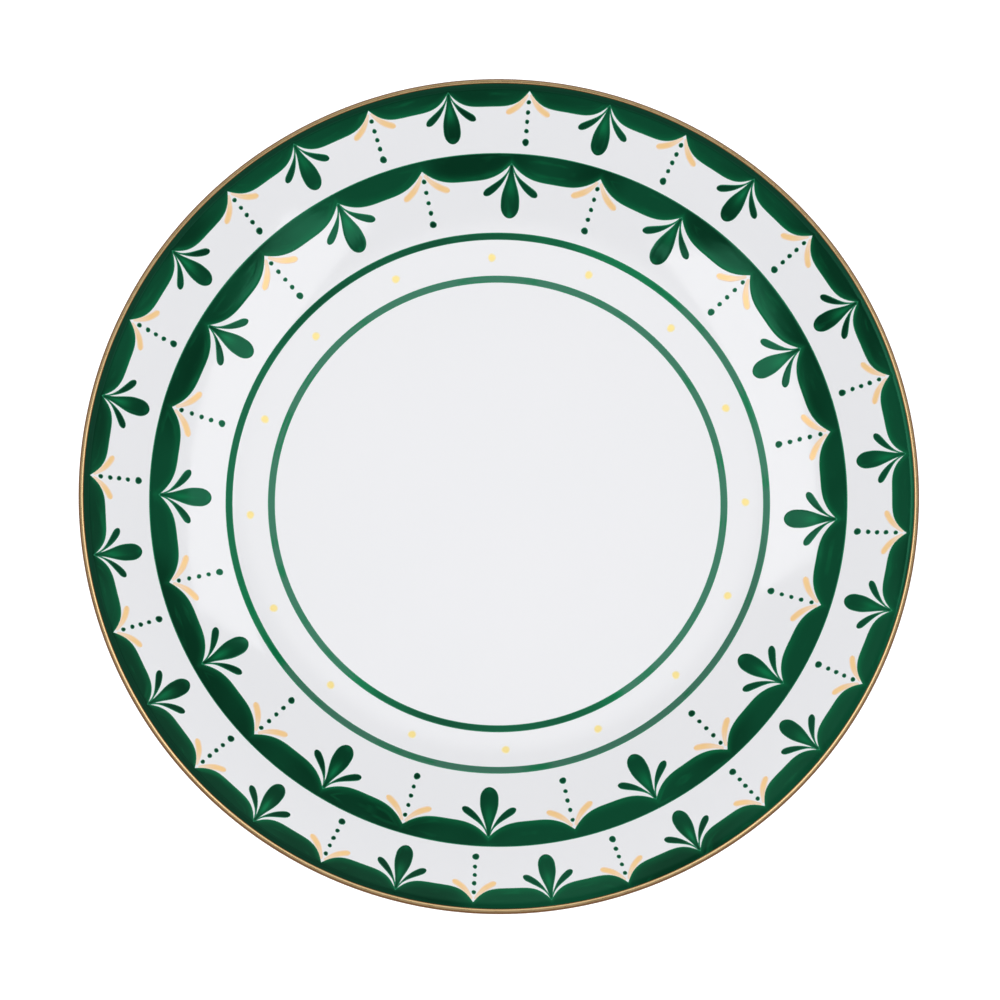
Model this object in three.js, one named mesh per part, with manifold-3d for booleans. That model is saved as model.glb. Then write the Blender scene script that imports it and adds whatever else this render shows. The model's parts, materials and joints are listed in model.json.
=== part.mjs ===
// A coupe dinner plate of glazed porcelain with green enamel and gold fired on to it.
// Millimetres, +Z up. The origin is on the table, under the middle of the foot ring.
import * as THREE from 'three';
import { mergeVertices } from 'three/addons/utils/BufferGeometryUtils.js';
import Module from 'manifold-3d';

const wasm = await Module();
wasm.setup();

// Driving dimensions: the finished plate.
const PLATE_RADIUS = 133.5;
const PLATE_HEIGHT = 29;
const GILT_THICKNESS = 0.15;
const GILT_DEGREES = [-30, 0, 45, 90, 98]; // round the bead: 0 is its outermost point, 90 its top
const BEAD_FACE_DEGREES = 100; // where the shoulder meets the bead
const BEAD_BACK_DEGREES = -70; // where the back meets the bead
const WELL_RADIUS = 68; // the flat floor of the well ends here
const WELL_FLOOR_Z = 5.8;
const RISE_SLOPE = 0.6; // rise over run of the face at the top of its rise
const SHOULDER_RADIUS = 5; // above the rise, the face rolls over towards the bead
const BEAD_RADIUS = 1.3; // the round outer edge
const FOOT_SHOULDER_THICKNESS = 3.5; // wall above the foot ring
const RISE_AT_FOOT = 0.3; // the foot ring's shoulder lies below this share of the rise
const GLAZE_THICKNESS = 0.25;
const LAYER_GAP = 0.02; // between layers, so that no two solids overlap

// Driving dimensions: the foot ring.
const FOOT_EDGE_INNER = 79.7; // the bare flat edge that the plate stands on
const FOOT_EDGE_OUTER = 81.5;
const FOOT_BEVEL = 0.5;
const FOOT_BARE_HEIGHT = 0.9; // the glaze stops this far above the table
const FOOT_WELL_Z = 2.2; // underside of the floor inside the ring
const FOOT_WELL_RADIUS = 77;

// Driving dimensions: the decoration.
const ENAMEL_THICKNESS = 0.2;
const BAND_OUTER_RADIUS = 131.7;
const INNER_BAND_RADIUS = 111;
const OUTER_BAND = { cusps: 32, phase: 3.97, cuspRadius: 129.9, depth: 5, fullness: 3.8 };
const INNER_BAND = { cusps: 24, phase: 1.97, cuspRadius: 107.8, depth: 5.15, fullness: 3.1 };
const OUTER_SPRIGS = { count: 16, phase: 15.22, scale: 1 };
const INNER_SPRIGS = { count: 12, phase: 1.97, scale: 1.08 };
const LINE_WIDTH = 2.25;
const OUTER_LINE_RADIUS = 85.5; // middle of the line
const INNER_LINE_RADIUS = 72;
const GOLD_DOTS = { count: 16, phase: -1.6, ringRadius: 78.8, dotRadius: 1.35 };

// Driving dimensions: a sprig at scale 1. x runs across and y inward from the cusp it hangs from.
// A petal has a thin stem that swells between two shares of its length and ends in a round lobe.
const MIDDLE_PETAL_SPAN = [0.5, 15.5];
const MIDDLE_PETAL = {
  stem: 0.62, halfWidth: 2.75, swellFrom: 0.05, swellTo: 0.68, roundFrom: 0.76,
};
const SIDE_PETAL_SPINE = [[0.2, 0.9], [1.75, 5.25], [7.9, 9.1]];
const SIDE_PETAL = {
  stem: 0.25, halfWidth: 1.12, swellFrom: 0.15, swellTo: 0.85, roundFrom: 0.87,
};
const SPRIG_ROOT_DEPTH = 1.1; // the petals join in a disc
const SPRIG_ROOT_RADIUS = 0.6;

// The transfers are laid by hand and creep round by this much on one side of the plate.
const CREEP_DEGREES = 1.2;
const CREEP_TOWARDS_DEGREES = 77;

// How finely round shapes are divided.
const SEGMENTS = 48;
const FACE_STEPS = 7;
const SHOULDER_STEPS = 2;
const BACK_STEPS = 4;
const SCALLOP_STEPS = 6;
const PETAL_STEPS = 4;
const ROOT_SIDES = 6;
const DOT_SIDES = 10;

// Looks.
const PORCELAIN = { color: 0xf4f2ec, roughness: 0.75, metalness: 0 };
const GLAZE = { color: 0xf2f3f5, roughness: 0.08, metalness: 0 };
const ENAMEL = { color: 0x0e4f2d, roughness: 0.15, metalness: 0 };
const GOLD = { color: 0xd8b06a, roughness: 0.25, metalness: 1 };

const plate = new THREE.Group();

function addMesh(name, geometry, look) {
  const mesh = new THREE.Mesh(geometry, new THREE.MeshStandardMaterial(look));
  mesh.name = name;
  plate.add(mesh);
}

// Profiles: points are (radius, height), and run from the underside out and back over the face.

const at = (radius, height) => new THREE.Vector2(radius, height);

// A point on a circle. 0 points outward and 90 points up.
function round(centre, radius, degrees) {
  const angle = THREE.MathUtils.degToRad(degrees);
  return at(Math.cos(angle), Math.sin(angle)).multiplyScalar(radius).add(centre);
}

const beadCentre = at(
  PLATE_RADIUS - GILT_THICKNESS - BEAD_RADIUS,
  PLATE_HEIGHT - GILT_THICKNESS - BEAD_RADIUS,
);
const shoulderCentre = round(beadCentre, BEAD_RADIUS - SHOULDER_RADIUS, BEAD_FACE_DEGREES);
const riseEndDegrees = 90 + THREE.MathUtils.radToDeg(Math.atan(RISE_SLOPE));
const riseEnd = round(shoulderCentre, SHOULDER_RADIUS, riseEndDegrees);

// The face from the well's edge to the shoulder: level at first, and RISE_SLOPE at the shoulder.
const rise = new THREE.QuadraticBezierCurve(
  at(WELL_RADIUS, WELL_FLOOR_Z),
  at(riseEnd.x - (riseEnd.y - WELL_FLOOR_Z) / RISE_SLOPE, WELL_FLOOR_Z),
  riseEnd,
);

// The back lies below the face by a wall that thins from the foot to the lip.
function backPoint(along) {
  const tangent = rise.getTangent(along);
  const share = (along - RISE_AT_FOOT) / (1 - RISE_AT_FOOT);
  const wall = THREE.MathUtils.lerp(FOOT_SHOULDER_THICKNESS, 2 * BEAD_RADIUS, share);
  return rise.getPoint(along).add(at(tangent.y, -tangent.x).multiplyScalar(wall));
}

const steps = (count) => Array.from({ length: count + 1 }, (_, i) => i / count);

const giltArc = (radius) => GILT_DEGREES.map((degrees) => round(beadCentre, radius, degrees));

const shoulderArc = steps(SHOULDER_STEPS).map((share) => round(
  shoulderCentre,
  SHOULDER_RADIUS,
  THREE.MathUtils.lerp(riseEndDegrees, BEAD_FACE_DEGREES, share),
));

const faceProfile = [
  at(0, WELL_FLOOR_Z),
  ...steps(FACE_STEPS).slice(0, -1).map((along) => rise.getPoint(along)),
  ...shoulderArc,
];

const backProfile = [
  ...steps(BACK_STEPS)
    .map((share) => backPoint(THREE.MathUtils.lerp(RISE_AT_FOOT, 1, share))),
  round(beadCentre, BEAD_RADIUS, BEAD_BACK_DEGREES),
];

// The finished outside from the foot's outer side, over the back and the bead, to the well's middle.
const glazedOutside = [
  at(FOOT_EDGE_OUTER + FOOT_BEVEL + GLAZE_THICKNESS, FOOT_BARE_HEIGHT),
  ...backProfile,
  ...giltArc(BEAD_RADIUS),
  ...faceProfile.toReversed(),
];

// The finished underside inside the foot ring, from the middle outward and down to the bare edge.
const glazedUnderside = [
  at(0, FOOT_WELL_Z),
  at(FOOT_WELL_RADIUS, FOOT_WELL_Z),
  at(FOOT_EDGE_INNER - FOOT_BEVEL - GLAZE_THICKNESS, FOOT_BARE_HEIGHT),
];

// The same line moved inward by a distance. A line runs with the plate on its left.
function inward(line, distance) {
  return line.map((point, i) => {
    const before = line[Math.max(i - 1, 0)];
    const after = line[Math.min(i + 1, line.length - 1)];
    const along = after.clone().sub(before).normalize();
    return at(-along.y, along.x).multiplyScalar(distance).add(point);
  });
}

const bodyOutside = inward(glazedOutside, GLAZE_THICKNESS + LAYER_GAP);
const bodyUnderside = inward(glazedUnderside, GLAZE_THICKNESS + LAYER_GAP);

// The solid of revolution of a profile whose inside lies on its left.
function turned(profile) {
  return new THREE.LatheGeometry(profile, SEGMENTS).rotateX(Math.PI / 2);
}

addMesh('porcelain_body', turned([
  ...bodyUnderside,
  at(FOOT_EDGE_INNER, 0),
  at(FOOT_EDGE_OUTER, 0),
  ...bodyOutside,
]), PORCELAIN);

addMesh('glaze_coat', turned([
  ...inward(glazedOutside, GLAZE_THICKNESS).reverse(),
  ...glazedOutside,
]), GLAZE);

addMesh('foot_well_glaze', turned([
  ...glazedUnderside,
  ...inward(glazedUnderside, GLAZE_THICKNESS).reverse(),
]), GLAZE);

const giltOutside = giltArc(BEAD_RADIUS + GILT_THICKNESS);
addMesh('gilt_rim_line', turned([
  ...giltOutside,
  ...giltArc(BEAD_RADIUS + LAYER_GAP).reverse(),
  giltOutside[0],
]), GOLD);

// Enamel: layers cut from one thin skin that follows the face.

function solidOf(geometry) {
  const bare = geometry.clone();
  bare.deleteAttribute('normal');
  bare.deleteAttribute('uv');
  const merged = mergeVertices(bare, 1e-4);
  return new wasm.Manifold(new wasm.Mesh({
    numProp: 3,
    vertProperties: merged.attributes.position.array,
    triVerts: new Uint32Array(merged.index.array),
  }));
}

function geometryOf(solid) {
  const mesh = solid.getMesh();
  const geometry = new THREE.BufferGeometry();
  geometry.setAttribute('position', new THREE.BufferAttribute(mesh.vertProperties, 3));
  geometry.setIndex(new THREE.BufferAttribute(mesh.triVerts, 1));
  geometry.computeVertexNormals();
  return geometry;
}

// The face between two radii, cut at both.
function faceBetween(innerRadius, outerRadius) {
  const heightAt = (radius) => {
    const i = faceProfile.findIndex((point) => point.x >= radius);
    const [low, high] = [faceProfile[i - 1], faceProfile[i]];
    const share = (radius - low.x) / (high.x - low.x);
    return THREE.MathUtils.lerp(low.y, high.y, share);
  };
  return [
    at(innerRadius, heightAt(innerRadius)),
    ...faceProfile.filter((point) => point.x > innerRadius && point.x < outerRadius),
    at(outerRadius, heightAt(outerRadius)),
  ];
}

// A ring of enamel on the face between two radii.
function enamelRing(innerRadius, outerRadius) {
  const raised = (height) =>
    faceBetween(innerRadius, outerRadius).map((point) => at(point.x, point.y + height));
  const bottom = raised(LAYER_GAP);
  return turned([...bottom, ...raised(LAYER_GAP + ENAMEL_THICKNESS).reverse(), bottom[0]]);
}

const skin = solidOf(enamelRing(WELL_RADIUS + 1, BAND_OUTER_RADIUS));

// The part of the skin under flat outlines drawn in plan view.
function enamelUnder(...outlines) {
  const stamps = outlines.map((outline) =>
    solidOf(new THREE.ExtrudeGeometry(outline, { depth: PLATE_HEIGHT, bevelEnabled: false })));
  const stamp = stamps.reduce((all, one) => all.add(one));
  return geometryOf(skin.intersect(stamp));
}

// The place in plan of a point of the pattern. Angles run clockwise from +Y, in degrees.
function onPlan(degrees, radius) {
  const creep = CREEP_DEGREES
    * Math.cos(THREE.MathUtils.degToRad(degrees - CREEP_TOWARDS_DEGREES));
  const angle = THREE.MathUtils.degToRad(degrees + creep);
  return new THREE.Vector2(Math.sin(angle) * radius, Math.cos(angle) * radius);
}

// The scalloped inner edge of a band: full bellies that meet in cusps pointing at the lip.
function scallopedEdge({ cusps, phase, cuspRadius, depth, fullness }) {
  const pitch = 360 / cusps;
  const points = [];
  for (let cusp = 0; cusp < cusps; cusp += 1) {
    for (let step = 0; step < SCALLOP_STEPS; step += 1) {
      const share = (1 - Math.cos((Math.PI * step) / SCALLOP_STEPS)) / 2;
      const fromMiddle = Math.abs(2 * share - 1);
      const radius = cuspRadius - depth * (1 - fromMiddle ** fullness);
      points.push(onPlan(phase + pitch * (cusp + share), radius));
    }
  }
  return points;
}

function bandOutline(outerRadius, band) {
  const outline = new THREE.Shape();
  outline.absarc(0, 0, outerRadius, 0, 2 * Math.PI);
  outline.holes.push(new THREE.Path(scallopedEdge(band)));
  return outline;
}

addMesh('outer_scallop_band', enamelUnder(bandOutline(PLATE_RADIUS + 1, OUTER_BAND)), ENAMEL);
addMesh('inner_scallop_band', enamelUnder(bandOutline(INNER_BAND_RADIUS, INNER_BAND)), ENAMEL);

function addLineRing(name, radius) {
  addMesh(name, enamelRing(radius - LINE_WIDTH / 2, radius + LINE_WIDTH / 2), ENAMEL);
}

addLineRing('outer_line_ring', OUTER_LINE_RADIUS);
addLineRing('inner_line_ring', INNER_LINE_RADIUS);

const petalShares = (count) => steps(count).map((share) => (1 - Math.cos(Math.PI * share)) / 2);

// Half the width of a petal at a share of its length.
function reachAt(share, { stem, halfWidth, swellFrom, swellTo, roundFrom }) {
  const swell = THREE.MathUtils.smoothstep(share, swellFrom, swellTo);
  const pastRound = Math.max(share - roundFrom, 0) / (1 - roundFrom);
  return THREE.MathUtils.lerp(stem, halfWidth, swell) * Math.sqrt(1 - pastRound ** 2);
}

function middlePetal() {
  const [start, end] = MIDDLE_PETAL_SPAN;
  const side = petalShares(2 * PETAL_STEPS).slice(1, -1).map((share) =>
    at(reachAt(share, MIDDLE_PETAL), THREE.MathUtils.lerp(start, end, share)));
  const otherSide = side.toReversed().map((point) => at(-point.x, point.y));
  return [at(0, start), ...side, at(0, end), ...otherSide];
}

function sidePetal(hand) {
  const spine = new THREE.QuadraticBezierCurve(...SIDE_PETAL_SPINE.map(([x, y]) => at(x, y)));
  const edge = (side) => petalShares(PETAL_STEPS + 2).slice(0, -1).map((share) => {
    const along = spine.getTangent(share);
    const reach = side * reachAt(share, SIDE_PETAL);
    return at(along.y, -along.x).multiplyScalar(reach).add(spine.getPoint(share));
  });
  return [...edge(1), spine.getPoint(1), ...edge(-1).reverse()]
    .map((point) => at(hand * point.x, point.y));
}

function disc(centre, radius, sides) {
  return steps(sides).slice(1).map((share) => at(
    centre.x + radius * Math.cos(2 * Math.PI * share),
    centre.y + radius * Math.sin(2 * Math.PI * share),
  ));
}

const rootDisc = disc(at(0, SPRIG_ROOT_DEPTH), SPRIG_ROOT_RADIUS, ROOT_SIDES);
const sprigOutlines = [middlePetal(), sidePetal(1), sidePetal(-1), rootDisc];

// A flat outline set with its y axis running inward from a place on the pattern.
function laidOut(points, degrees, radius, scale) {
  const origin = onPlan(degrees, radius);
  const inwards = origin.clone().normalize().negate();
  const across = at(-inwards.y, inwards.x);
  const placed = points.map((point) => origin.clone()
    .addScaledVector(across, point.x * scale)
    .addScaledVector(inwards, point.y * scale));
  return new THREE.Shape(placed);
}

function addSprigs(kind, { count, phase, scale }, cuspRadius) {
  for (let i = 0; i < count; i += 1) {
    const degrees = phase + (360 * i) / count;
    const outlines = sprigOutlines.map((points) => laidOut(points, degrees, cuspRadius, scale));
    addMesh(`${kind}_sprig_${String(i + 1).padStart(2, '0')}`, enamelUnder(...outlines), ENAMEL);
  }
}

addSprigs('outer', OUTER_SPRIGS, OUTER_BAND.cuspRadius);
addSprigs('inner', INNER_SPRIGS, INNER_BAND.cuspRadius);

function addGoldDots({ count, phase, ringRadius, dotRadius }) {
  for (let i = 0; i < count; i += 1) {
    const centre = onPlan(phase + (360 * i) / count, ringRadius);
    const outline = new THREE.Shape(disc(centre, dotRadius, DOT_SIDES));
    addMesh(`gold_dot_${String(i + 1).padStart(2, '0')}`, enamelUnder(outline), GOLD);
  }
}

addGoldDots(GOLD_DOTS);

export default plate;
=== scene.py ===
"""A coupe dinner plate of glazed porcelain with brushed green enamel and gold, in Blender.

Shapes are worked out in millimetres, as (radius, height) profiles and as flat outlines laid on the face,
and scaled to metres when a mesh is made. Angles of the pattern run clockwise from +Y, in degrees, seen
from above.
"""

import json
import math
import random

import bmesh
import bpy
import numpy as np
from mathutils import Matrix, Vector
from mathutils.kdtree import KDTree


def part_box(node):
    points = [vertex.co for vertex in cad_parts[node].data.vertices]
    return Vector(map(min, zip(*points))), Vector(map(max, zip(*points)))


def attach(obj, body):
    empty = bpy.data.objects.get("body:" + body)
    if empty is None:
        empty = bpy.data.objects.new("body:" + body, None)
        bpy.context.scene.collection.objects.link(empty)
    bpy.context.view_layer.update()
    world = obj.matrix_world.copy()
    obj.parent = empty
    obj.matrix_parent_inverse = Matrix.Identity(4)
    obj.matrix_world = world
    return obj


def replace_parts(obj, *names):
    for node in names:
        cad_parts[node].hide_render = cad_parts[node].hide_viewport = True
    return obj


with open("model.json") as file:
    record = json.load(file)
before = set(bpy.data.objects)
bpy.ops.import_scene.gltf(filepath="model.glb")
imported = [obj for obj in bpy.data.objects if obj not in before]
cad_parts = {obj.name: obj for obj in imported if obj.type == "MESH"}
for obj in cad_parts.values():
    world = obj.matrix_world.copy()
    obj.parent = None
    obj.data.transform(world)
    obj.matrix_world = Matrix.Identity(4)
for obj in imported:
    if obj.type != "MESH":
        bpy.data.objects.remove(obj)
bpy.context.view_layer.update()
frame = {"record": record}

MM = 0.001
rng = random.Random(7)

# The plate's shape, as the CAD part has it.
GLAZE_THICKNESS = 0.25
PLATE_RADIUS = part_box("gilt_rim_line")[1].x / MM
PLATE_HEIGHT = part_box("gilt_rim_line")[1].z / MM
WELL_FLOOR_Z = next(m for m in frame["record"]["mounts"] if m["name"] == "well_floor")["pos_m"][2] / MM
FOOT_WELL_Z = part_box("foot_well_glaze")[1].z / MM - GLAZE_THICKNESS
WELL_RADIUS = 68
RISE_SLOPE = 0.6
SHOULDER_RADIUS = 5
BEAD_RADIUS = 1.3
BEAD_FACE_DEGREES = 100
BEAD_BACK_DEGREES = -70
BEAD_START_DEGREES = -60
GILT_DEGREES = (-30, 98)
GILT_THICKNESS = 0.15
GILT_HIGHLIGHT_DEGREES = 68  # a painted highlight runs along the bead here, and fades over this spread
GILT_HIGHLIGHT_SPREAD = 18
GILT_OUTSIDE_HIGHLIGHT = 0.3  # on the bead's outside the painted highlight comes back this strongly, between these angles
GILT_OUTSIDE_DEGREES = (18, 4)
GILT_FEATHER = 0.25  # the gold thins over this distance from its edges
FOOT_SHOULDER_THICKNESS = 3.5
RISE_AT_FOOT = 0.3
FOOT_EDGE_INNER = 79.7
FOOT_EDGE_OUTER = 81.5
FOOT_BARE_HEIGHT = 0.9
FOOT_FLARE = 0.55  # the foot widens by this on each side, up to where the glaze starts
FOOT_NECK = (82.9, 3.3)  # where the foot's outside meets the back, as (radius, height)
FOOT_NECK_ROUNDING = 1.6
FOOT_WELL_RADIUS = 77
FOOT_WELL_FLARE = 0.6
FOOT_WELL_ROUNDING = 1.4
FOOT_EDGE_BEVEL = 0.25
FOOT_EDGE_BEVEL_HEIGHT = 0.35

# The decoration.
ENAMEL_THICKNESS = 0.07
ENAMEL_FEATHER = 0.3  # the enamel thins over this distance from its edge
SINK = 0.02  # a layer's underside lies this far inside the glaze that it is fused to
STROKE_LENGTH = 9  # brush marks are about this long and this wide
STROKE_WIDTH = 1.6
BAND_OUTER_RADIUS = 131.9
THIN_TONE = 0.45  # the bands' tone along their scallops, which fades over this distance
THIN_REACH = 1.6
MATT_AND_SHADE_TONE = -1.2  # the outer band's tone next to the gold, where it is matt and darkened with painted shade, which fades over this distance
MATT_AND_SHADE_REACH = 1.8
MATT_AND_SHADE_TOWARDS_DEGREES = 305  # the middle of the side that is matt and darkened with painted shade
INNER_BAND_RADIUS = 111
OUTER_BAND = {"cusps": 32, "phase": 3.97, "cusp_radius": 129.9, "depth": 5.0, "fullness": 3.8}
INNER_BAND = {"cusps": 24, "phase": 1.97, "cusp_radius": 107.8, "depth": 5.15, "fullness": 3.1}
OUTER_SPRIGS = {"count": 16, "phase": 15.22, "scale": 1.0}
INNER_SPRIGS = {"count": 12, "phase": 1.97, "scale": 1.08}
OUTER_DOTS = {"count": 16, "phase": 3.97, "scale": 1.0}
INNER_DOTS = {"count": 12, "phase": 16.97, "scale": 1.07}
LINE_WIDTH = 2.25
LINE_REFLECTION_TONE = 1.75  # the lines are washed to a pale grey-green, a painted reflection, but for one stretch where the tone is lower by this much
LINE_UNREFLECTED_DROP = 1.7
OUTER_LINE = {"radius": 85.5, "unreflected_degrees": 318, "unreflected_spread": 78}
INNER_LINE = {"radius": 72, "unreflected_degrees": 183, "unreflected_spread": 36}
GOLD_DOTS = {"count": 16, "phase": -1.6, "ring_radius": 78.8, "dot_radius": 1.35}
CREEP_DEGREES = 1.2
CREEP_TOWARDS_DEGREES = 77

# How finely round shapes are divided.
TURNED_SEGMENTS = 288
ROUNDING_STEPS = 6
BAND_COLUMNS = 768
BAND_ROWS = 16
PETAL_ROWS = 28
PETAL_COLUMNS = 10
DOT_SECTORS = 20
SHARP_DEGREES = 40  # an edge is shaded as a sharp one from this angle


# ---------------------------------------------------------------- profiles


def point_on_circle(centre, radius, degrees):
    angle = np.radians(degrees)
    return np.asarray(centre) + radius * np.stack([np.cos(angle), np.sin(angle)], axis=-1)


def arc(centre, radius, start_degrees, end_degrees, steps):
    return point_on_circle(centre, radius, np.linspace(start_degrees, end_degrees, steps + 1))


def parabola(start, corner, end, along):
    """Points of a parabola that leaves its start towards the corner and comes from there to its end."""
    t = np.asarray(along)[:, None]
    return (1 - t) ** 2 * start + 2 * t * (1 - t) * corner + t**2 * end


def parabola_normals(start, corner, end, along):
    """Its normals, on its left."""
    t = np.asarray(along)[:, None]
    tangent = (1 - t) * (corner - start) + t * (end - corner)
    tangent /= np.linalg.norm(tangent, axis=1, keepdims=True)
    return np.column_stack([-tangent[:, 1], tangent[:, 0]])


BEAD_CENTRE = np.array([
    PLATE_RADIUS - GILT_THICKNESS - BEAD_RADIUS,
    PLATE_HEIGHT - GILT_THICKNESS - BEAD_RADIUS,
])
SHOULDER_CENTRE = point_on_circle(BEAD_CENTRE, BEAD_RADIUS - SHOULDER_RADIUS, BEAD_FACE_DEGREES)
RISE_END_DEGREES = 90 + math.degrees(math.atan(RISE_SLOPE))
RISE_START = np.array([WELL_RADIUS, WELL_FLOOR_Z])
RISE_END = point_on_circle(SHOULDER_CENTRE, SHOULDER_RADIUS, RISE_END_DEGREES)
RISE_CORNER = np.array([RISE_END[0] - (RISE_END[1] - WELL_FLOOR_Z) / RISE_SLOPE, WELL_FLOOR_Z])
RISE = (RISE_START, RISE_CORNER, RISE_END)  # the face between the well and the shoulder


def face_profile():
    """The glazed face from the middle of the well to where the gold line starts."""
    well = [[radius, WELL_FLOOR_Z] for radius in (0, 12, 24, 36, 48, 58, 64)]
    slope = parabola(*RISE, np.linspace(0, 1, 49))
    shoulder = arc(SHOULDER_CENTRE, SHOULDER_RADIUS, RISE_END_DEGREES, BEAD_FACE_DEGREES, 16)
    return np.vstack([well, slope, shoulder[1:]])


def back_profile():
    """The glazed back from the foot ring's shoulder to the bead."""
    along = np.linspace(RISE_AT_FOOT, 1, 33)
    share = (along - RISE_AT_FOOT) / (1 - RISE_AT_FOOT)
    wall = FOOT_SHOULDER_THICKNESS + (2 * BEAD_RADIUS - FOOT_SHOULDER_THICKNESS) * share
    slope = parabola(*RISE, along) - parabola_normals(*RISE, along) * wall[:, None]
    return np.vstack([slope, arc(BEAD_CENTRE, BEAD_RADIUS, BEAD_BACK_DEGREES, BEAD_START_DEGREES, 3)])


def rounded(corners, radius):
    """A line with each inner corner replaced by a curve that starts and ends radius away from it."""
    corners = np.asarray(corners, float)
    line = [corners[0]]
    for before, corner, after in zip(corners, corners[1:], corners[2:]):
        start = corner + (before - corner) * min(radius / np.linalg.norm(before - corner), 0.5)
        end = corner + (after - corner) * min(radius / np.linalg.norm(after - corner), 0.5)
        line.extend(parabola(start, corner, end, np.linspace(0, 1, ROUNDING_STEPS + 1)))
    line.append(corners[-1])
    return np.array(line)


FACE = face_profile()
FACE_SLOPES = np.gradient(FACE[:, 1], FACE[:, 0])


def glazed_outside():
    """From the bare foot over the back, the bead and the face to the middle of the well."""
    back = back_profile()
    glaze_edge = [FOOT_EDGE_OUTER + FOOT_FLARE, FOOT_BARE_HEIGHT]
    foot = rounded([glaze_edge, FOOT_NECK, back[0], back[3]], FOOT_NECK_ROUNDING)
    bead = arc(BEAD_CENTRE, BEAD_RADIUS, BEAD_START_DEGREES, BEAD_FACE_DEGREES, 28)
    return np.vstack([foot, back[4:], bead[1:], FACE[::-1][1:]])


def glazed_underside():
    """From the middle of the underside to the foot ring's bare edge."""
    middle = [[radius, FOOT_WELL_Z] for radius in (0, 15, 30, 45, 60)]
    foot = rounded([
        [70, FOOT_WELL_Z],
        [FOOT_WELL_RADIUS + FOOT_WELL_FLARE, FOOT_WELL_Z],
        [FOOT_EDGE_INNER - FOOT_FLARE, FOOT_BARE_HEIGHT],
    ], FOOT_WELL_ROUNDING)
    return np.vstack([middle, foot])


def inward(line, distance):
    """The line moved towards the plate, which lies on its left."""
    along = np.gradient(line, axis=0)
    along /= np.linalg.norm(along, axis=1, keepdims=True)
    moved = line + distance * np.column_stack([-along[:, 1], along[:, 0]])
    moved[line[:, 0] == 0, 0] = 0
    return moved


# ---------------------------------------------------------------- meshes


def finish_mesh(name, vertices, faces, material, values=None):
    """Makes one piece of the plate, with its per-point values as attributes, and rides it on the root."""
    mesh = bpy.data.meshes.new(name)
    mesh.from_pydata((np.asarray(vertices) * MM).tolist(), [], faces)
    for key, value in (values or {}).items():
        value = np.asarray(value, np.float32)
        kind, field = ("FLOAT_VECTOR", "vector") if value.ndim == 2 else ("FLOAT", "value")
        mesh.attributes.new(key, kind, "POINT").data.foreach_set(field, value.ravel())
    work = bmesh.new()
    work.from_mesh(mesh)
    bmesh.ops.remove_doubles(work, verts=work.verts, dist=1e-7)
    bmesh.ops.dissolve_degenerate(work, edges=work.edges, dist=1e-8)
    bmesh.ops.recalc_face_normals(work, faces=work.faces)
    work.to_mesh(mesh)
    work.free()
    mesh.shade_smooth()
    mesh.set_sharp_from_angle(angle=math.radians(SHARP_DEGREES))
    mesh.materials.append(material)
    piece = bpy.data.objects.new(name, mesh)
    bpy.context.scene.collection.objects.link(piece)
    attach(piece, "root")
    return piece


def turned(name, profile, material, values=None):
    """A solid of revolution. A profile that doesn't start on the axis closes on itself."""
    profile = np.asarray(profile)
    rows = len(profile)
    angles = np.arange(TURNED_SEGMENTS) * 2 * np.pi / TURNED_SEGMENTS
    radius = profile[:, 0][None, :]
    vertices = np.stack([
        np.cos(angles)[:, None] * radius,
        np.sin(angles)[:, None] * radius,
        np.broadcast_to(profile[:, 1], (TURNED_SEGMENTS, rows)),
    ], axis=-1).reshape(-1, 3)
    on_axis = profile[0, 0] == 0
    faces = []
    for segment in range(TURNED_SEGMENTS):
        here = segment * rows
        there = (segment + 1) % TURNED_SEGMENTS * rows
        for row in range(rows - 1 if on_axis else rows):
            after = (row + 1) % rows
            faces.append((here + row, there + row, there + after, here + after))
    spread = {key: np.tile(value, TURNED_SEGMENTS) for key, value in (values or {}).items()}
    return finish_mesh(name, vertices, faces, material, spread)


def layer(plan, edge, brush, thickness, tone=0.0, wraps=False):
    """A thin closed layer on the face.

    plan is a grid of flat points, edge each point's distance from the layer's edge, brush its place along
    and across the brush stroke and tone how thinly the colour lies there: 0 is full, 1 is thin, more is
    washed out to a pale grey-green, which on the lines is painted reflection, and -1 is matt and darkened
    with painted shade. A layer that wraps joins its last column to its first.
    """
    radius = np.hypot(plan[..., 0], plan[..., 1])
    height = np.interp(radius, FACE[:, 0], FACE[:, 1])
    slope = np.interp(radius, FACE[:, 0], FACE_SLOPES)
    base = np.dstack([plan, height])
    out = plan / radius[..., None]
    normal = np.dstack([-slope[..., None] * out, np.ones_like(height)])
    normal /= np.linalg.norm(normal, axis=-1, keepdims=True)
    share = np.clip(edge / ENAMEL_FEATHER, 0, 1)
    rise_of_edge = thickness * np.sqrt(share * (2 - share))
    top = base + normal * rise_of_edge[..., None]
    bottom = base - normal * SINK
    rows, columns = radius.shape
    index = np.arange(rows * columns).reshape(rows, columns)
    if wraps:
        index = np.column_stack([index, index[:, 0]])
    below = index + rows * columns
    faces = []
    for grid in (index, below):
        quads = np.stack([grid[:-1, :-1], grid[:-1, 1:], grid[1:, 1:], grid[1:, :-1]], axis=-1)
        faces += quads.reshape(-1, 4).tolist()
    rims = [(index[0], below[0]), (index[-1], below[-1])]
    if not wraps:
        rims += [(index[:, 0], below[:, 0]), (index[:, -1], below[:, -1])]
    for upper, lower in rims:
        faces += np.stack([upper[:-1], upper[1:], lower[1:], lower[:-1]], axis=-1).tolist()
    return {
        "vertices": np.vstack([top.reshape(-1, 3), bottom.reshape(-1, 3)]),
        "faces": faces,
        "edge": np.tile(edge.ravel(), 2),
        "brush": np.tile(brush.reshape(-1, 3), (2, 1)),
        "tone": np.tile(np.broadcast_to(tone, edge.shape).ravel(), 2),
    }


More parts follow.
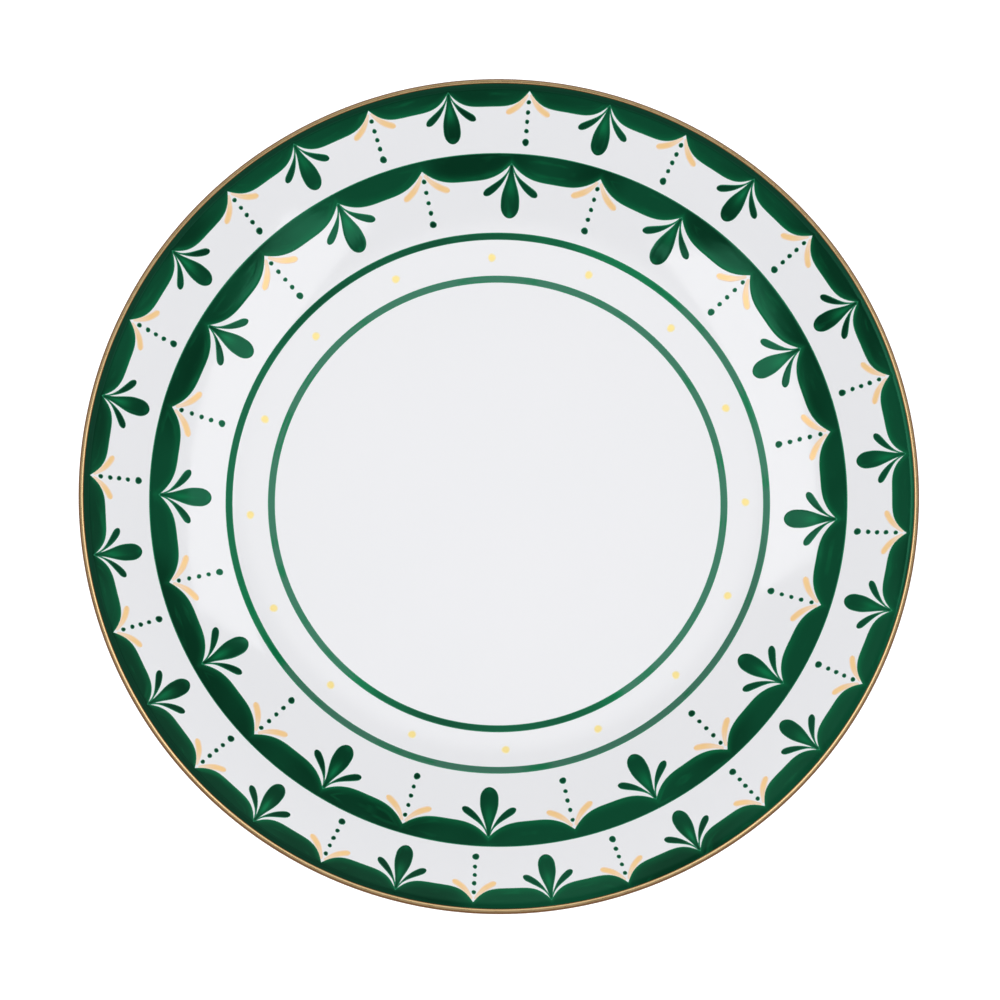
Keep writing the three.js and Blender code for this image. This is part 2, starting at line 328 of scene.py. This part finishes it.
def laid_layers(name, layers, material):
    """One piece of several layers."""
    faces = []
    start = 0
    for part in layers:
        faces += [[corner + start for corner in face] for face in part["faces"]]
        start += len(part["vertices"])
    vertices = np.vstack([part["vertices"] for part in layers])
    values = {key: np.concatenate([part[key] for part in layers]) for key in ("edge", "brush", "tone")}
    return finish_mesh(name, vertices, faces, material, values)


# ---------------------------------------------------------------- pattern


def smooth(value):
    """0 to 1 with a gentle start and end."""
    value = np.clip(value, 0, 1)
    return value * value * (3 - 2 * value)


def crept(degrees):
    """The angle of a place in the pattern: the transfers are laid by hand, and creep round on one side."""
    return degrees + CREEP_DEGREES * np.cos(np.radians(degrees - CREEP_TOWARDS_DEGREES))


def on_plan(degrees, radius):
    angle = np.radians(crept(np.asarray(degrees, float)))
    return np.stack([np.sin(angle) * radius, np.cos(angle) * radius], axis=-1)


def set_out(points, degrees, radius, scale=1.0):
    """Points across and inward from a place on the pattern, in plan."""
    origin = on_plan(degrees, radius)
    inward_axis = -origin / np.linalg.norm(origin)
    across_axis = np.array([-inward_axis[1], inward_axis[0]])
    return origin + scale * (points[..., :1] * across_axis + points[..., 1:] * inward_axis)


def scalloped_radius(degrees, band):
    """The inner edge of a band: full bellies that meet in cusps pointing at the lip."""
    pitch = 360 / band["cusps"]
    share = ((degrees - band["phase"]) / pitch) % 1
    from_middle = np.abs(2 * share - 1)
    return band["cusp_radius"] - band["depth"] * (1 - from_middle ** band["fullness"])


def ring_layer(degrees, inner_radius, outer_radius, edge_points, inner_tone=0.0, outer_tone=0.0, tone=0.0):
    """A layer all the way round, between two radii that may vary. Its rows crowd towards its edges."""
    share = (1 - np.cos(np.pi * np.linspace(0, 1, BAND_ROWS))) / 2
    radius = inner_radius + (outer_radius - inner_radius) * share[:, None]
    plan = on_plan(np.broadcast_to(degrees, radius.shape), radius)
    tree = KDTree(len(edge_points))
    for i, (x, y) in enumerate(edge_points):
        tree.insert((x, y, 0), i)
    tree.balance()
    edge = np.array([tree.find((x, y, 0))[2] for x, y in plan.reshape(-1, 2)]).reshape(radius.shape)
    edge[0] = 0
    edge[-1] = 0
    angle = np.radians(np.broadcast_to(degrees, radius.shape))
    around = radius.mean() / STROKE_LENGTH
    brush = np.stack([np.cos(angle) * around, np.sin(angle) * around, edge / STROKE_WIDTH], axis=-1)
    tone = tone + inner_tone * np.exp(-(((radius - inner_radius) / THIN_REACH) ** 2))
    tone += outer_tone * np.exp(-(((outer_radius - radius) / MATT_AND_SHADE_REACH) ** 4))
    return layer(plan, edge, brush, ENAMEL_THICKNESS, tone, wraps=True)


def band_layer(outer_radius, band):
    """A scalloped band. The outer one runs on under the gold, which hides its edge; next to the gold it is
    matt and darkened with painted shade.
    """
    phase = band["phase"]
    degrees = phase + np.arange(BAND_COLUMNS) * 360 / BAND_COLUMNS
    fine = phase + np.arange(BAND_COLUMNS * 8) * 360 / (BAND_COLUMNS * 8)
    inner = scalloped_radius(degrees, band)
    inner_edge = on_plan(fine, scalloped_radius(fine, band))
    outer_edge = on_plan(fine, np.full_like(fine, outer_radius))
    if band is OUTER_BAND:
        # painted shade: the outer band is darkened next to the gold, on all but its lower right side
        matt_and_shade = MATT_AND_SHADE_TONE * smooth(0.9 + np.cos(np.radians(degrees - MATT_AND_SHADE_TOWARDS_DEGREES)))
        return ring_layer(degrees, inner, outer_radius, inner_edge, THIN_TONE, matt_and_shade)
    return ring_layer(degrees, inner, outer_radius, np.vstack([inner_edge, outer_edge]), THIN_TONE)


def line_layer(radius, unreflected_degrees, unreflected_spread):
    """A green line round the well, washed pale with painted reflection but for one stretch."""
    degrees = np.arange(BAND_COLUMNS) * 360 / BAND_COLUMNS
    away = (degrees - unreflected_degrees + 180) % 360 - 180
    # painted reflection: pale all round the line but for one stretch of full colour
    tone = LINE_REFLECTION_TONE - LINE_UNREFLECTED_DROP * np.exp(-((away / unreflected_spread) ** 4))
    fine = np.arange(BAND_COLUMNS * 8) * 360 / (BAND_COLUMNS * 8)
    low, high = radius - LINE_WIDTH / 2, radius + LINE_WIDTH / 2
    edges = np.vstack([on_plan(fine, np.full_like(fine, r)) for r in (low, high)])
    return ring_layer(degrees, np.full_like(degrees, low), high, edges, tone=tone)


# Sprigs and flecks: x runs across and y runs inward from the cusp that they hang from.

SPRIG_ROOT_DEPTH = 0.5
SPRIG_ROOT_RADIUS = 0.6
MIDDLE_PETAL_SPAN = (0.3, 15.5)
SIDE_PETAL_SPINE = np.array([[0.3, 0.7], [1.75, 5.25], [7.9, 9.1]])
FLECK_SPINE = np.array([[0.5, 0.95], [2.4, 5.0], [7.0, 7.05]])


def stroke_width(t, stem, half_width, swell_from, swell_to, round_from):
    """Half the width of a stroke: a thin stem that swells into a lobe with a round end."""
    swell = stem + (half_width - stem) * smooth((t - swell_from) / (swell_to - swell_from))
    start = np.sqrt(np.clip(t / 0.03, 0, 1))
    end = np.sqrt(np.clip(1 - (np.clip(t - round_from, 0, 1) / (1 - round_from)) ** 2, 0, 1))
    return swell * start * end


def stroke(points, normals, half_widths, tone, degrees, radius, scale, hand, thickness, seed):
    """One brush stroke: a leaf-shaped layer round a spine, mirrored by hand. tone runs along the spine."""
    across = np.sin(np.pi / 2 * np.linspace(-1, 1, PETAL_COLUMNS + 1))
    flat = points[:, None, :] + normals[:, None, :] * (half_widths[:, None] * across)[..., None]
    flat[..., 0] *= hand
    plan = set_out(flat, degrees, radius, scale)
    edge = half_widths[:, None] * (1 - np.abs(across)) * scale
    length = np.concatenate([[0], np.cumsum(np.linalg.norm(np.diff(points, axis=0), axis=1))])
    along = np.broadcast_to(length[:, None], edge.shape)
    side = half_widths[:, None] * across
    brush = np.stack([along / STROKE_LENGTH, np.full_like(edge, seed), side / STROKE_WIDTH], axis=-1)
    streak = tone[:, None] * np.exp(-((across / 0.6) ** 2))
    return layer(plan, edge, brush, thickness, streak)


def petal_shares():
    return (1 - np.cos(np.pi * np.linspace(0, 1, PETAL_ROWS + 1))) / 2


def middle_petal(degrees, radius, scale, seed):
    t = petal_shares()
    start, end = MIDDLE_PETAL_SPAN
    points = np.column_stack([np.zeros_like(t), start + (end - start) * t])
    normals = np.tile([1.0, 0.0], (len(t), 1))
    widths = stroke_width(t, stem=0.62, half_width=2.75, swell_from=0.05, swell_to=0.68, round_from=0.76)
    tone = 0.95 * np.exp(-(((t - 0.36) / 0.2) ** 2)) + 0.4 * smooth((t - 0.85) / 0.12)
    return stroke(points, normals, widths, tone, degrees, radius, scale, 1, ENAMEL_THICKNESS, seed)


def side_petal(degrees, radius, scale, hand, seed):
    t = petal_shares()
    points, normals = parabola(*SIDE_PETAL_SPINE, t), -parabola_normals(*SIDE_PETAL_SPINE, t)
    widths = stroke_width(t, stem=0.24, half_width=1.12, swell_from=0.15, swell_to=0.85, round_from=0.87)
    tone = 0.9 * np.clip(1 - t / 0.6, 0, 1)
    return stroke(points, normals, widths, tone, degrees, radius, scale, hand, ENAMEL_THICKNESS, seed)


def fleck(degrees, radius, scale, hand, seed):
    t = petal_shares()
    points, normals = parabola(*FLECK_SPINE, t), -parabola_normals(*FLECK_SPINE, t)
    widths = stroke_width(t, stem=0.5, half_width=1.02, swell_from=0.05, swell_to=0.65, round_from=0.86)
    tone = 1 - smooth(t / 0.75)
    return stroke(points, normals, widths, tone, degrees, radius, scale, hand, ENAMEL_THICKNESS / 2, seed)


def dot(centre, dot_radius, seed, thickness=ENAMEL_THICKNESS, tone=0.0):
    """A round drop of colour."""
    rings = np.sin(np.pi / 2 * np.linspace(0, 1, 6))
    angles = np.arange(DOT_SECTORS) * 2 * np.pi / DOT_SECTORS
    wobble = 1 + 0.04 * np.sin(2 * angles + seed) + 0.03 * np.sin(3 * angles + 2.3 * seed)
    reach = dot_radius * rings[:, None] * wobble
    offset = np.stack([reach * np.cos(angles), reach * np.sin(angles)], axis=-1)
    plan = centre + offset
    edge = dot_radius * np.broadcast_to(1 - rings[:, None], reach.shape)
    brush = np.dstack([offset / STROKE_WIDTH, np.full(reach.shape, seed)])
    return layer(plan, edge, brush, thickness, tone, wraps=True)


def motif_angles(motifs):
    return [motifs["phase"] + 360 * i / motifs["count"] for i in range(motifs["count"])]


def sprig(name, node, degrees, radius, scale):
    seed = rng.uniform(0, 100)
    root = set_out(np.array([0, SPRIG_ROOT_DEPTH]), degrees, radius, scale)
    layers = [
        middle_petal(degrees, radius, scale, seed),
        side_petal(degrees, radius, scale, 1, seed + 11),
        side_petal(degrees, radius, scale, -1, seed + 23),
        dot(root, SPRIG_ROOT_RADIUS, seed, tone=0.7),
    ]
    piece = laid_layers(name, layers, green_enamel)
    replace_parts(piece, node)


def sprigs(kind, motifs, radius):
    for i, degrees in enumerate(motif_angles(motifs), start=1):
        sprig(f"{kind}_sprig_petals_{i:02d}", f"{kind}_sprig_{i:02d}", degrees, radius, motifs["scale"])


SMALL_DOT_RADIUS = 0.74
LARGE_DOT_RADIUS = 1.12
OUTER_DOT_DEPTHS = (3.35, 6.4, 9.2, 12.0, 15.4)
INNER_DOT_DEPTHS = (3.1, 6.5, 9.75, 12.9, 16.5)


def dot_rows(name, motifs, radius, depths):
    """Rows of green dots that run inward from the cusps, the last dot larger."""
    layers = []
    for degrees in motif_angles(motifs):
        for depth in depths:
            size = LARGE_DOT_RADIUS if depth == depths[-1] else SMALL_DOT_RADIUS * rng.uniform(0.94, 1.06)
            centre = set_out(np.array([rng.uniform(-0.06, 0.06), depth]), degrees, radius)
            layers.append(dot(centre, size, rng.uniform(0, 100)))
    laid_layers(name, layers, green_enamel)


def fleck_pairs(name, motifs, radius):
    layers = []
    for degrees in motif_angles(motifs):
        for hand in (1, -1):
            layers.append(fleck(degrees, radius, motifs["scale"], hand, rng.uniform(0, 100)))
    laid_layers(name, layers, gold_print)


def gold_dots():
    for i, degrees in enumerate(motif_angles(GOLD_DOTS), start=1):
        centre = on_plan(degrees, GOLD_DOTS["ring_radius"])
        drop = dot(centre, GOLD_DOTS["dot_radius"], rng.uniform(0, 100), ENAMEL_THICKNESS / 2)
        piece = laid_layers(f"gold_spot_{i:02d}", [drop], gold_spot)
        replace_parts(piece, f"gold_dot_{i:02d}")


# ---------------------------------------------------------------- materials


def linear(red, green, blue):
    """A colour given as 0 to 255 on screen."""
    def channel(value):
        value /= 255
        return value / 12.92 if value <= 0.04045 else ((value + 0.055) / 1.055) ** 2.4
    return channel(red), channel(green), channel(blue), 1.0


class Shader:
    """A material's node tree."""

    def __init__(self, name):
        self.material = bpy.data.materials.new(name)
        self.material.use_nodes = True
        self.tree = self.material.node_tree
        self.principled = self.tree.nodes["Principled BSDF"]

    def fill(self, socket, value):
        """Links another node's output to the socket, or sets it to a value."""
        if isinstance(value, bpy.types.NodeSocket):
            self.tree.links.new(value, socket)
        else:
            socket.default_value = value

    def node(self, kind, inputs=None, **settings):
        made = self.tree.nodes.new(kind)
        for key, value in settings.items():
            setattr(made, key, value)
        for key, value in (inputs or {}).items():
            self.fill(made.inputs[key], value)
        return made

    def set(self, **values):
        for key, value in values.items():
            self.fill(self.principled.inputs[key.replace("_", " ")], value)

    def place(self):
        """The point on the plate, in metres."""
        return self.node("ShaderNodeTexCoord").outputs["Object"]

    def attribute(self, name, output="Fac"):
        return self.node("ShaderNodeAttribute", attribute_name=name).outputs[output]

    def noise(self, vector, scale, detail=2.0, roughness=0.5):
        inputs = {"Vector": vector, "Scale": scale, "Detail": detail, "Roughness": roughness}
        return self.node("ShaderNodeTexNoise", inputs).outputs["Fac"]

    def remap(self, value, low, high, to_low=0.0, to_high=1.0):
        inputs = {"Value": value, "From Min": low, "From Max": high, "To Min": to_low, "To Max": to_high}
        return self.node("ShaderNodeMapRange", inputs, interpolation_type="SMOOTHSTEP").outputs["Result"]

    def mix(self, share, first, second):
        """A mix of two colours. A mix node's inputs 6 and 7 and its output 2 are the ones for colours."""
        made = self.node("ShaderNodeMix", {"Factor": share, 6: first, 7: second}, data_type="RGBA")
        return made.outputs[2]

    def math(self, operation, first, second):
        return self.node("ShaderNodeMath", {0: first, 1: second}, operation=operation).outputs["Value"]

    def bump(self, height, distance):
        made = self.node("ShaderNodeBump", {"Height": height, "Distance": distance, "Strength": 1.0})
        self.tree.links.new(made.outputs["Normal"], self.principled.inputs["Normal"])


def glaze_material():
    """Clear glossy glaze over white porcelain, with the faint ripple that glaze has."""
    shader = Shader("porcelain_glaze")
    place = shader.place()
    drift = shader.noise(place, 18, detail=3)
    shader.set(
        Base_Color=shader.mix(drift, linear(235, 236, 239), linear(238, 238, 241)),
        Roughness=shader.remap(shader.noise(place, 160, detail=4), 0.3, 0.7, 0.06, 0.1),
        IOR=1.5,
    )
    ripple = shader.noise(place, 90, detail=2)
    shader.bump(ripple, 0.00002)
    return shader.material


def bisque_material():
    """Bare fired porcelain on the foot ring, matt and faintly grainy."""
    shader = Shader("bare_porcelain")
    place = shader.place()
    shade = shader.noise(place, 240, detail=4)
    shader.set(
        Base_Color=shader.mix(shade, linear(221, 214, 203), linear(236, 231, 222)),
        Roughness=0.8,
    )
    shader.bump(shader.noise(place, 2600, detail=3), 0.00005)
    return shader.material


def enamel_material():
    """Glassy green enamel laid with a soft brush: lighter where it lies thin, in streaks and at its edges.
    Its pale grey-green wash is painted reflection, and its dark colour where matt is painted shade.
    """
    shader = Shader("green_enamel")
    streak = shader.noise(shader.attribute("brush", "Vector"), 1.0, detail=2, roughness=0.4)
    cloud = shader.noise(shader.place(), 26, detail=1)
    base = shader.mix(shader.remap(cloud, 0.36, 0.62), linear(1, 40, 22), linear(7, 65, 41))
    uneven = shader.math("MULTIPLY", shader.attribute("tone"), shader.remap(streak, 0.2, 0.7, 0.6, 1.1))
    brushed = shader.math("ADD", uneven, shader.remap(streak, 0.55, 0.85, 0.0, 0.3))
    worked = shader.mix(brushed, base, linear(12, 110, 66))
    # painted reflection: a pale grey-green wash where the tone is high
    thin_and_reflected = shader.mix(shader.remap(uneven, 0.9, 1.5), worked, linear(64, 110, 92))
    paleness = shader.remap(shader.attribute("edge"), 0.0, 0.4, 0.7, 0.0)
    edged = shader.mix(paleness, thin_and_reflected, linear(60, 148, 112))
    matt_and_shade_share = shader.remap(shader.attribute("tone"), -1.0, 0.0, 1.0, 0.0)
    matt_roughness = shader.math("MULTIPLY", matt_and_shade_share, 0.55)
    shader.set(
        # painted shade: a darker green where the tone is below zero, as well as a rougher surface
        Base_Color=shader.mix(matt_and_shade_share, edged, linear(1, 28, 16)),
        Roughness=shader.math("MAXIMUM", shader.remap(streak, 0.3, 0.7, 0.08, 0.13), matt_roughness),
        Specular_IOR_Level=0.42,
        Specular_Tint=(0.16, 1.0, 0.55, 1.0),
    )
    shader.bump(streak, 0.00002)
    return shader.material


def lip_gold_material():
    """Liquid gold on the bead: a painted highlight along the top of the bead, and painted brown shade at its
    edges.
    """
    shader = Shader("lip_gold")
    grain = shader.noise(shader.place(), 300, detail=2)
    # painted shade: brown gold at the edges of the line
    thin = shader.mix(grain, linear(88, 58, 32), linear(110, 76, 44))
    bright = shader.mix(grain, linear(188, 159, 112), linear(212, 184, 140))
    shader.set(
        Base_Color=shader.mix(shader.attribute("gold_highlight"), thin, bright),
        Metallic=1.0,
        Roughness=shader.remap(grain, 0.3, 0.7, 0.24, 0.32),
    )
    return shader.material


def gold_print_material(name, strong, weak, faded):
    """Thin pale gold print that fades into the white at its edges and where the brush set down."""
    shader = Shader(name)
    grain = shader.noise(shader.place(), 500, detail=2)
    gold = shader.mix(grain, linear(*strong), linear(*weak))
    thin_edge = shader.remap(shader.attribute("edge"), 0.0, 0.6, 0.9, 0.0)
    fading = shader.math("MAXIMUM", thin_edge, shader.attribute("tone"))
    shader.set(
        Base_Color=shader.mix(fading, gold, linear(*faded)),
        Metallic=shader.remap(fading, 0.0, 1.0, 0.12, 0.0),
        Roughness=0.2,
        Specular_IOR_Level=0.3,
    )
    return shader.material


def floor_material():
    """Pale and faintly lit from below, a painted glow, but not where the plate stands, a painted shadow, so
    its back and foot are shaded.
    """
    shader = Shader("studio_floor")
    length = shader.node("ShaderNodeVectorMath", {0: shader.place()}, operation="LENGTH")
    from_middle = length.outputs["Value"]
    shader.set(
        Base_Color=(0.9, 0.9, 0.9, 1),
        Roughness=0.9,
        Specular_IOR_Level=0.0,
        Emission_Color=(1, 1, 1, 1),
        # painted light: the floor glows, but not under the plate, which paints a shadow there
        Emission_Strength=shader.remap(from_middle, 0.08, 0.13, 0.0, 0.5),
    )
    return shader.material


glaze = glaze_material()
bisque = bisque_material()
green_enamel = enamel_material()
lip_gold = lip_gold_material()
gold_print = gold_print_material("gold_print", (252, 205, 140), (252, 216, 158), (241, 220, 207))
gold_spot = gold_print_material("gold_spot", (246, 220, 134), (252, 232, 158), (241, 233, 208))


# ---------------------------------------------------------------- the plate


def plate_body():
    gap = GLAZE_THICKNESS + SINK
    under = inward(glazed_underside(), gap)
    outside = inward(glazed_outside(), gap)
    edge = rounded([
        under[-1],
        [FOOT_EDGE_INNER - 0.15, FOOT_EDGE_BEVEL_HEIGHT],
        [FOOT_EDGE_INNER + 0.1, 0],
        [FOOT_EDGE_OUTER - 0.1, 0],
        [FOOT_EDGE_OUTER + 0.15, FOOT_EDGE_BEVEL_HEIGHT],
        outside[0],
    ], FOOT_EDGE_BEVEL)
    piece = turned("plate_body", np.vstack([under, edge[1:-1], outside]), bisque)
    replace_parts(piece, "porcelain_body")


def glaze_shell(name, node, outside):
    """A coat of glaze with a straight end where it stops at the bare foot."""
    inside = inward(outside, GLAZE_THICKNESS)
    piece = turned(name, np.vstack([outside, inside[::-1]]), glaze)
    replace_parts(piece, node)


def gilt_line():
    start, end = GILT_DEGREES
    degrees = np.linspace(start, end, 49)
    reach = np.radians(np.minimum(degrees - start, end - degrees)) * BEAD_RADIUS
    swell = np.clip(reach / GILT_FEATHER, 0, 1)
    height = GILT_THICKNESS * np.sqrt(swell * (2 - swell))
    radius = BEAD_RADIUS + height
    top = BEAD_CENTRE + radius[:, None] * point_on_circle((0, 0), 1, degrees)
    bottom = point_on_circle(BEAD_CENTRE, BEAD_RADIUS - SINK, degrees[::-1])
    # a painted highlight along the top of the bead and again on its outside
    gold_highlight = np.exp(-(((degrees - GILT_HIGHLIGHT_DEGREES) / GILT_HIGHLIGHT_SPREAD) ** 4))
    thin_at, thick_at = GILT_OUTSIDE_DEGREES
    gold_highlight += GILT_OUTSIDE_HIGHLIGHT * smooth((degrees - thin_at) / (thick_at - thin_at))
    values = {"gold_highlight": np.concatenate([gold_highlight, gold_highlight[::-1]])}
    piece = turned("lip_gold_line", np.vstack([top, bottom]), lip_gold, values)
    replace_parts(piece, "gilt_rim_line")


def green_rings():
    rings = (
        ("outer_band_enamel", "outer_scallop_band", band_layer(BAND_OUTER_RADIUS, OUTER_BAND)),
        ("inner_band_enamel", "inner_scallop_band", band_layer(INNER_BAND_RADIUS, INNER_BAND)),
        ("outer_line_enamel", "outer_line_ring", line_layer(**OUTER_LINE)),
        ("inner_line_enamel", "inner_line_ring", line_layer(**INNER_LINE)),
    )
    for name, node, ring in rings:
        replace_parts(laid_layers(name, [ring], green_enamel), node)


plate_body()
glaze_shell("plate_glaze", "glaze_coat", glazed_outside())
glaze_shell("foot_glaze", "foot_well_glaze", glazed_underside())
gilt_line()
green_rings()
sprigs("outer", OUTER_SPRIGS, OUTER_BAND["cusp_radius"])
sprigs("inner", INNER_SPRIGS, INNER_BAND["cusp_radius"])
dot_rows("outer_green_dots", OUTER_DOTS, OUTER_BAND["cusp_radius"], OUTER_DOT_DEPTHS)
dot_rows("inner_green_dots", INNER_DOTS, INNER_BAND["cusp_radius"], INNER_DOT_DEPTHS)
fleck_pairs("outer_gold_flecks", OUTER_DOTS, OUTER_BAND["cusp_radius"])
fleck_pairs("inner_gold_flecks", INNER_DOTS, INNER_BAND["cusp_radius"])
gold_dots()


# ---------------------------------------------------------------- studio


def studio_floor():
    mesh = bpy.data.meshes.new("studio_floor")
    half = 6.0
    corners = [(-half, -half, 0), (half, -half, 0), (half, half, 0), (-half, half, 0)]
    mesh.from_pydata(corners, [], [(0, 1, 2, 3)])
    mesh.materials.append(floor_material())
    floor = bpy.data.objects.new("studio_floor", mesh)
    bpy.context.scene.collection.objects.link(floor)


def studio_sky():
    """Soft light all round: a bright patch overhead, dim round it and brighter again near the horizon."""
    world = bpy.data.worlds.new("studio")
    bpy.context.scene.world = world
    world.use_nodes = True
    nodes, links = world.node_tree.nodes, world.node_tree.links
    coordinates = nodes.new("ShaderNodeTexCoord")
    split = nodes.new("ShaderNodeSeparateXYZ")
    links.new(coordinates.outputs["Generated"], split.inputs[0])

    def ramp(low, high, to_low, to_high):
        made = nodes.new("ShaderNodeMapRange")
        made.interpolation_type = "SMOOTHSTEP"
        links.new(split.outputs["Z"], made.inputs["Value"])
        for key, value in (("From Min", low), ("From Max", high), ("To Min", to_low), ("To Max", to_high)):
            made.inputs[key].default_value = value
        return made.outputs["Result"]

    total = nodes.new("ShaderNodeMath")
    total.operation = "ADD"
    links.new(ramp(0.3, 0.6, 0.92, 0.36), total.inputs[0])
    links.new(ramp(0.87, 0.94, 0.0, 1.42), total.inputs[1])
    background = nodes["Background"]
    links.new(total.outputs["Value"], background.inputs["Strength"])
    background.inputs["Color"].default_value = (1, 1, 1, 1)


def softbox(name, azimuth, from_zenith, distance, width, height, power):
    """An area light aimed at the plate. Azimuth is clockwise from +Y."""
    data = bpy.data.lights.new(name, "AREA")
    data.shape = "RECTANGLE"
    data.size = width
    data.size_y = height
    data.energy = power
    light = bpy.data.objects.new(name, data)
    lean, turn = math.radians(from_zenith), math.radians(azimuth)
    direction = Vector((math.sin(lean) * math.sin(turn), math.sin(lean) * math.cos(turn), math.cos(lean)))
    light.location = direction * distance
    light.rotation_euler = direction.to_track_quat("Z", "Y").to_euler()
    bpy.context.scene.collection.objects.link(light)


def camera():
    """Almost straight above the plate and far off, leaning a little towards -Y and -X."""
    tilt, lean = math.radians(6.6), math.radians(1.0)
    towards = Vector((-math.sin(lean), -math.sin(tilt), 0))
    towards.z = math.sqrt(1 - towards.length_squared)
    right = Vector((0, 1, 0)).cross(towards).normalized()
    target = Vector((0.32, -1.45, PLATE_HEIGHT)) * MM
    distance = 10
    view_width = 0.3174
    data = bpy.data.cameras.new("camera")
    data.lens = data.sensor_width * distance / view_width
    data.clip_end = 5 * distance
    seen = bpy.data.objects.new("camera", data)
    seen.location = target + distance * towards
    seen.rotation_euler = Matrix((right, towards.cross(right), towards)).transposed().to_euler()
    bpy.context.scene.collection.objects.link(seen)
    bpy.context.scene.camera = seen


studio_floor()
studio_sky()
softbox("left_softbox", azimuth=260, from_zenith=30, distance=1.3, width=0.95, height=0.36, power=2.5)
softbox("right_softbox", azimuth=99, from_zenith=30, distance=1.3, width=1.25, height=0.36, power=3.1)
camera()
bpy.context.scene.view_settings.view_transform = "Standard"
